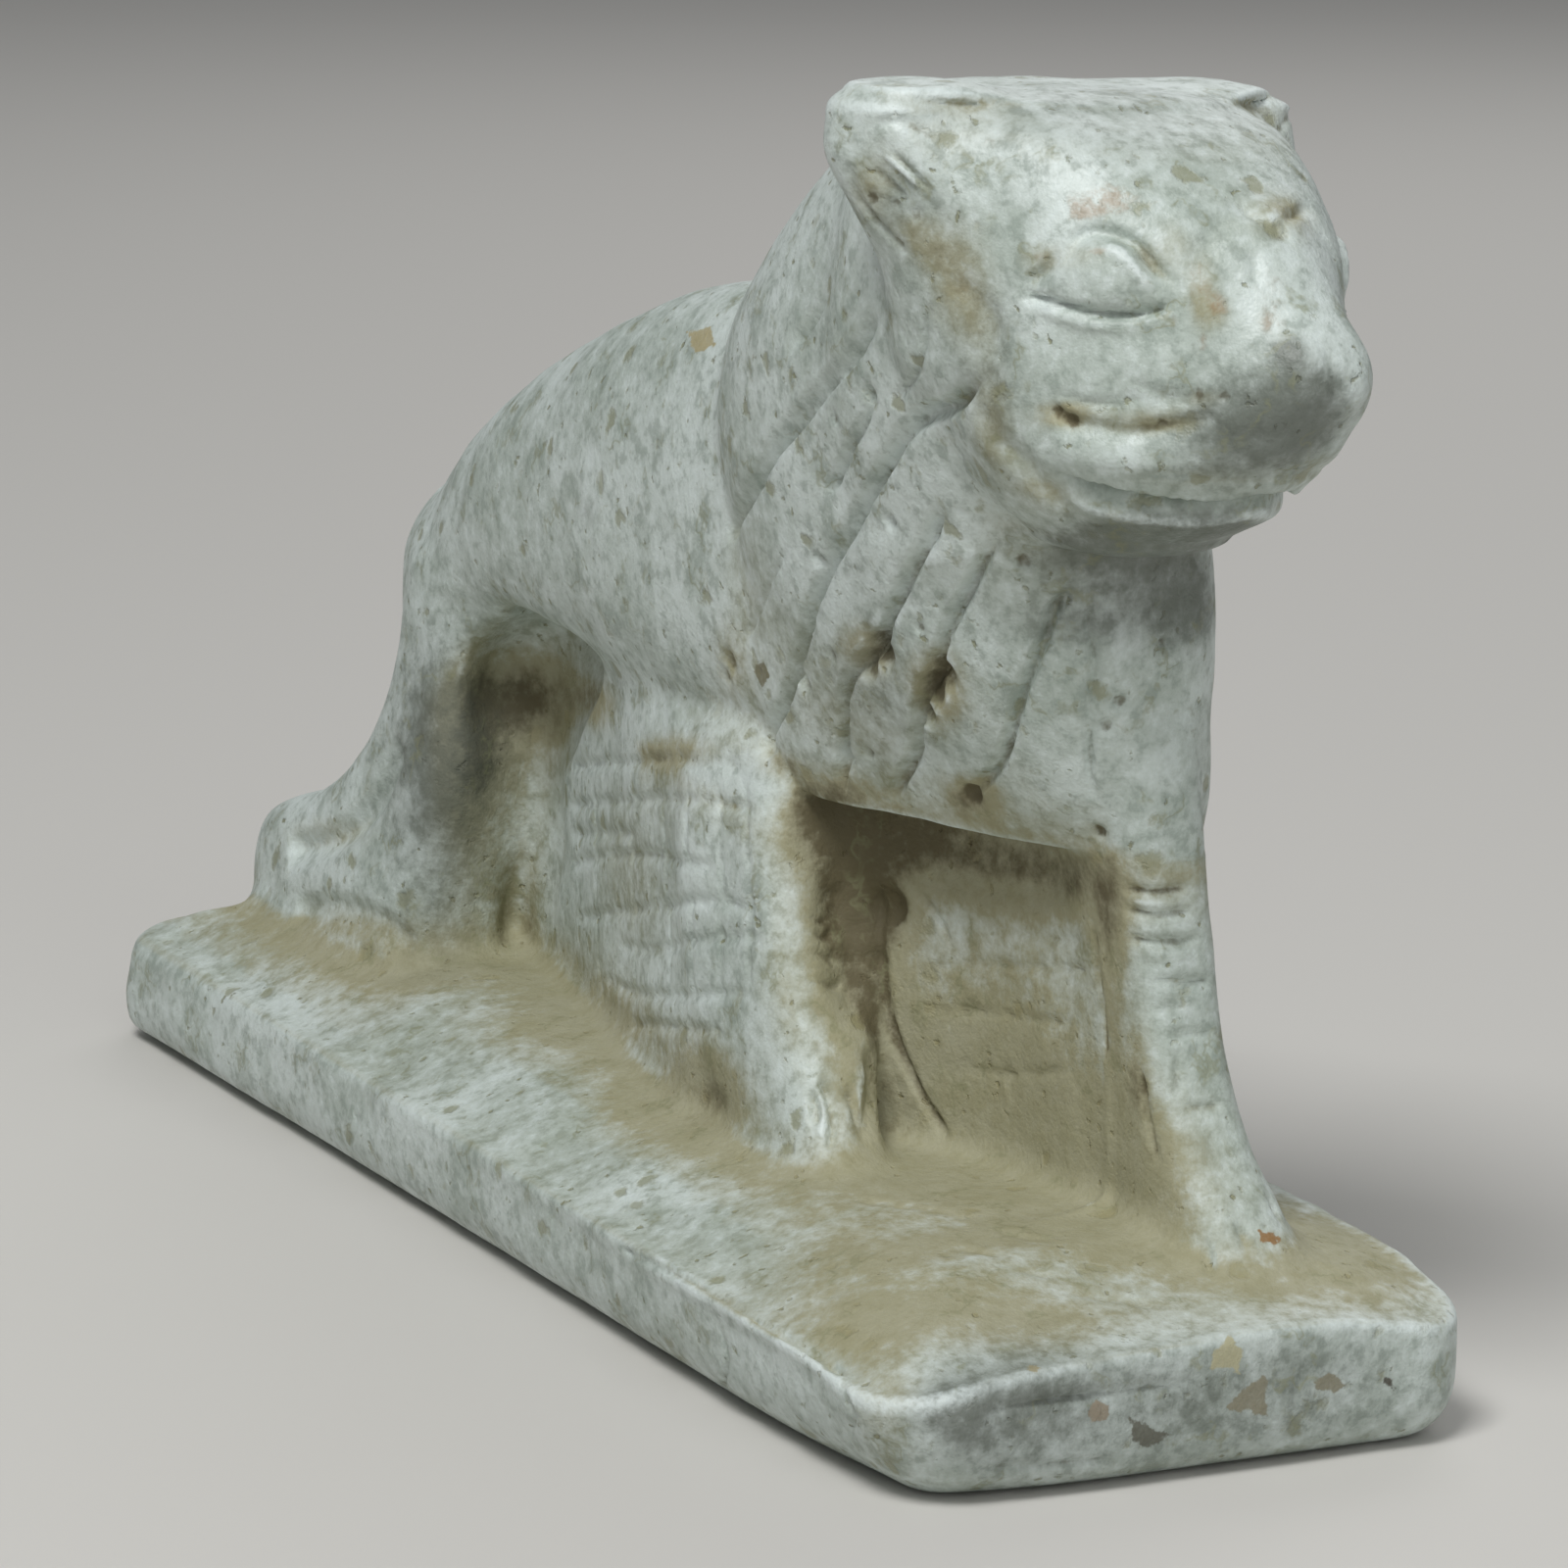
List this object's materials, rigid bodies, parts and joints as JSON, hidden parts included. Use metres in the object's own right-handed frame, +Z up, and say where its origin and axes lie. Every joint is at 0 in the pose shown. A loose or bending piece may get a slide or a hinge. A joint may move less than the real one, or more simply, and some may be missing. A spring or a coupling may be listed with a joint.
{
  "type": "stone lioness statue",
  "caption": "Small carved stone statue of a walking lioness with a cape-like mane, her head turned, standing on a low rectangular base.",
  "frame": {"origin": "middle of the bounding box's underside, on the flat bottom of the base", "axes": "+X ahead of the beast, along the base's length; +Y to the beast's left; +Z up"},
  "size_m": [0.1724, 0.0516, 0.1013],
  "materials": {
    "stone": "worn pale stone with a slight satin sheen, tan dirt in the hollows"
  },
  "bodies": {
    "root": {"lioness_statue": "stone"}
  },
  "joints": []
}
